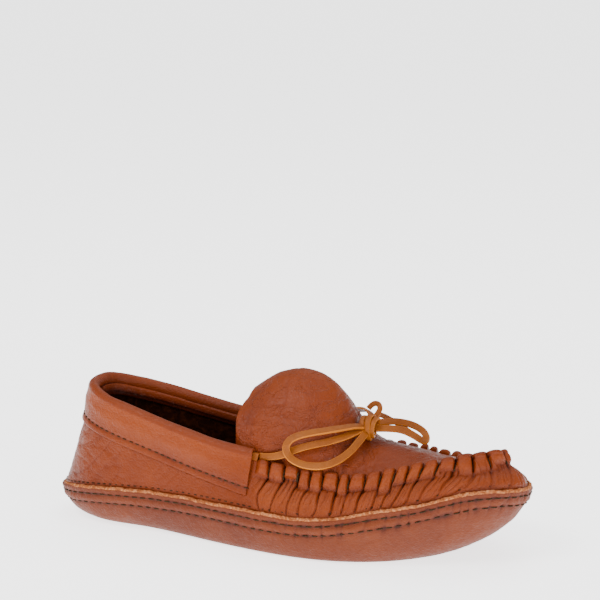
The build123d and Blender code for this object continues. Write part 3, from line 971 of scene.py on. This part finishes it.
def build_knot():
    """Bands of thong wrapped round the crossing strands."""
    low, high = [np.array(c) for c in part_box("bow_knot")]
    centre = (low + high) / 2
    half = (high - low) / 2
    bands = []
    plans = [(0.05, 0.06, 0.96, 1.12, 3.4), (-0.62, -0.10, 0.84, 0.92, 3.0), (0.66, 0.20, 0.80, 0.88, 3.0)]
    for number, (shift, tilt, wide, tall, width) in enumerate(plans):
        line, faces = [], []
        for k in range(72):
            a = 2 * math.pi * k / 72
            y, z = math.cos(a) * half[1] * wide, math.sin(a) * half[2] * tall
            x = shift * half[0] + math.tan(tilt) * z + 0.3 * MM * math.sin(2 * a)
            line.append(centre + np.array([x, y, z]))
            faces.append((0, math.cos(a), math.sin(a)))
        line, faces = np.array(line), np.array(faces)
        tangent = np.roll(line, -1, 0) - np.roll(line, 1, 0)
        tangent /= np.linalg.norm(tangent, axis=1, keepdims=True)
        side = np.cross(tangent, faces)
        side /= np.linalg.norm(side, axis=1, keepdims=True)
        n = 14
        P, shade_and_wear = np.zeros((len(line), n, 3)), np.zeros((len(line), n))
        for k in range(n):
            a = 2 * math.pi * k / n
            cx, cy = math.cos(a), math.sin(a)
            sx = 0.5 * width * MM * math.copysign(abs(cx) ** 0.45, cx)
            sy = 0.5 * 1.9 * MM * math.copysign(abs(cy) ** 0.6, cy)
            P[:, k] = line + side * sx + faces * sy
            shade_and_wear[:, k] = 0.5 + (0.35 if abs(cx) > 0.9 else 0.0)
        P = np.concatenate([P, P[:1]])
        shade_and_wear = np.concatenate([shade_and_wear, shade_and_wear[:1]])
        bands.append(grid_object(f"knot_band_{number}", P, shade_and_wear=shade_and_wear))
    core = bpy.data.meshes.new("knot_core")
    ring, rows = 40, 24
    verts, faces = [], []
    for j in range(rows + 1):
        for k in range(ring):
            a, b = math.pi * j / rows, 2 * math.pi * k / ring
            swell = 0.82 + 0.06 * math.sin(5 * b + 3 * a)
            verts.append(tuple(centre + half * swell * np.array(
                [math.sin(a) * math.cos(b), math.sin(a) * math.sin(b), math.cos(a)])))
    for j in range(rows):
        for k in range(ring):
            a, b = j * ring + k, j * ring + (k + 1) % ring
            faces.append((a, a + ring, b + ring, b))
    core.from_pydata(verts, [], faces)
    core.shade_smooth()
    # the core inside the wraps is painted a little darker as shade
    core.attributes.new("shade_and_wear", "FLOAT", "POINT").data.foreach_set("value", [0.4] * len(verts))
    core_obj = bpy.data.objects.new("knot_core", core)
    bpy.context.scene.collection.objects.link(core_obj)
    for obj in bands + [core_obj]:
        obj.data.materials.append(LACE)
        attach(obj, "shoe")
        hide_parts("bow_knot")
    return bands


def build_lace():
    bands = build_knot()
    for number, (name, route) in enumerate(ROUTES.items()):
        tail = name.endswith("tail")
        width = TAIL_WIDTH if tail else LACE_WIDTH
        line = nurbs_line(name, route)
        thickness = LACE_THICKNESS * (0.8 if tail else 1)
        obj = ribbon("thong_" + name[5:], line, *FACES[name], width * 1.02, thickness, 80 + number)
        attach(obj, "shoe")
        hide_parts(name)
    nodes["lace_in_collar"].data.materials.clear()
    nodes["lace_in_collar"].data.materials.append(LACE_CORE)


# ---------------------------------------------------------------- assembly

sole_P, sole_depth = build_sole()
upper_P, pleat_place = build_wrapper()
build_lining()
cuff_P, cuff_up, cuff_has = build_cuff()
build_tongue_plug()
build_lace()

for row_name, level in zip(("sole_thread_upper", "sole_thread_lower"), SOLE_ROWS):
    stitch_mesh("stitches_" + row_name[5:], row_name,
                row_places(sole_P, sole_depth, level, STITCH_PITCH, -1))
stitch_mesh("stitches_rim", "rim_thread",
            row_places(wall, wall_z - rim_z[None], RIM_ROW, STITCH_PITCH * 0.75, 1), 0.28 * MM, 2.4 * MM)
stitch_mesh("stitches_collar", "collar_thread",
            row_places(cuff_P, cuff_up, COLLAR_ROW, STITCH_PITCH * 0.8, 1, cuff_has), 0.36 * MM, 3.0 * MM)


def slits(row):
    """Points of the slits between the gathers on one row of the wall, and the ways they face."""
    f = pleat_place[row]
    cols = np.flatnonzero((f[:-1] > 0.3) & (f[1:] < -0.3) & is_front[:-1])
    return upper_P[row + 1][cols], AWAY[cols]


def gather_stitches():
    """Thread lying in each slit, along its line."""
    low, middle, high = (slits(WALL_ROWS - k)[0] for k in (16, 8, 1))
    places = []
    for point, away in zip(middle, slits(WALL_ROWS - 8)[1]):
        below = low[np.argmin(np.linalg.norm(low - point, axis=1))]
        above = high[np.argmin(np.linalg.norm(high - point, axis=1))]
        out = np.append(away, 0)
        places.append((point + 1.0 * MM * out, above - below, out))
    return places


stitch_mesh("stitches_gather", "gather_thread", gather_stitches(), 0.6 * MM, 5.6 * MM)


def seam_stitches():
    """Stitches across the back seam, one above the other."""
    places = []
    behind = wall[-1, :, 0] < SPINE_HEEL
    c = int(np.argmin(np.where(behind, abs(wall[-1, :, 1]), 1)))
    for z in np.arange(0.028, 0.058, 0.0042):
        j = int(np.argmin(abs(wall_z[:, c] - z)))
        places.append((wall[j, c] + np.array([-1.1 * MM, 0, 0]), (0, 1, 0.15), (-1, 0, 0.2)))
    return places


stitch_mesh("stitches_back_seam", "back_seam_thread", seam_stitches(), 0.36 * MM, 3.4 * MM)

for name, mat in (("sock_liner", FLESH), ("cushion_insole", FOAM)):
    nodes[name].data.materials.clear()
    nodes[name].data.materials.append(mat)


# ---------------------------------------------------------------- studio

def plane(name, size, z):
    mesh = bpy.data.meshes.new(name)
    h = size / 2
    mesh.from_pydata([(-h, -h, z), (h, -h, z), (h, h, z), (-h, h, z)], [], [(0, 1, 2, 3)])
    obj = bpy.data.objects.new(name, mesh)
    bpy.context.scene.collection.objects.link(obj)
    return obj


floor = plane("studio_floor", 60.0, -0.0002)
floor_mat, _, floor_bsdf = shader("pale_floor", 0.85, 0.1)
floor_bsdf.inputs["Base Color"].default_value = (0.95, 0.95, 0.95, 1)
floor_bsdf.inputs["Emission Color"].default_value = (1, 1, 1, 1)
floor_bsdf.inputs["Emission Strength"].default_value = 2.3
floor.data.materials.append(floor_mat)

world = bpy.data.worlds.new("studio")
bpy.context.scene.world = world
world.use_nodes = True
world.node_tree.nodes["Background"].inputs[0].default_value = (1, 1, 1, 1)
world.node_tree.nodes["Background"].inputs[1].default_value = 0.66


def area_light(name, place, target, size, power):
    data = bpy.data.lights.new(name, "AREA")
    data.energy = power
    data.size = size
    obj = bpy.data.objects.new(name, data)
    obj.location = place
    obj.rotation_euler = (Vector(target) - Vector(place)).to_track_quat("-Z", "Y").to_euler()
    bpy.context.scene.collection.objects.link(obj)


area_light("key", (-0.5, -0.9, 1.3), (0, 0, 0.04), 0.6, 15)
area_light("fill", (1.3, -0.8, 0.8), (0, 0, 0.04), 0.8, 5)
area_light("top", (0.1, 0.5, 1.6), (0, 0, 0.04), 1.2, 10)
area_light("toe", (0.9, -1.0, 0.35), (0.1, 0, 0.04), 0.6, 4.5)


def camera():
    """Camera beside and above the toe, turned a little off the shoe's middle to frame it."""
    azimuth, elevation = math.radians(20.0), math.radians(17.0)
    distance, lens = 1.09, 110.0
    pitch, yaw = math.radians(4.93), math.radians(-0.375)
    centre = Vector((0, 0, 0.045))
    away = Vector((math.sin(azimuth) * math.cos(elevation), -math.cos(azimuth) * math.cos(elevation),
                   math.sin(elevation)))
    right = Vector((math.cos(azimuth), math.sin(azimuth), 0))
    up = right.cross(-away)
    forward = -away * math.cos(pitch) + up * math.sin(pitch)
    up = away * math.sin(pitch) + up * math.cos(pitch)
    forward, right = (forward * math.cos(yaw) - right * math.sin(yaw),
                      right * math.cos(yaw) + forward * math.sin(yaw))
    data = bpy.data.cameras.new("camera")
    data.lens = lens
    data.sensor_width = 36
    obj = bpy.data.objects.new("camera", data)
    bpy.context.scene.collection.objects.link(obj)
    axes = Matrix((right, up, -forward)).transposed().to_4x4()
    obj.matrix_world = Matrix.Translation(centre + away * distance) @ axes
    bpy.context.scene.camera = obj


camera()
bpy.context.view_layer.update()
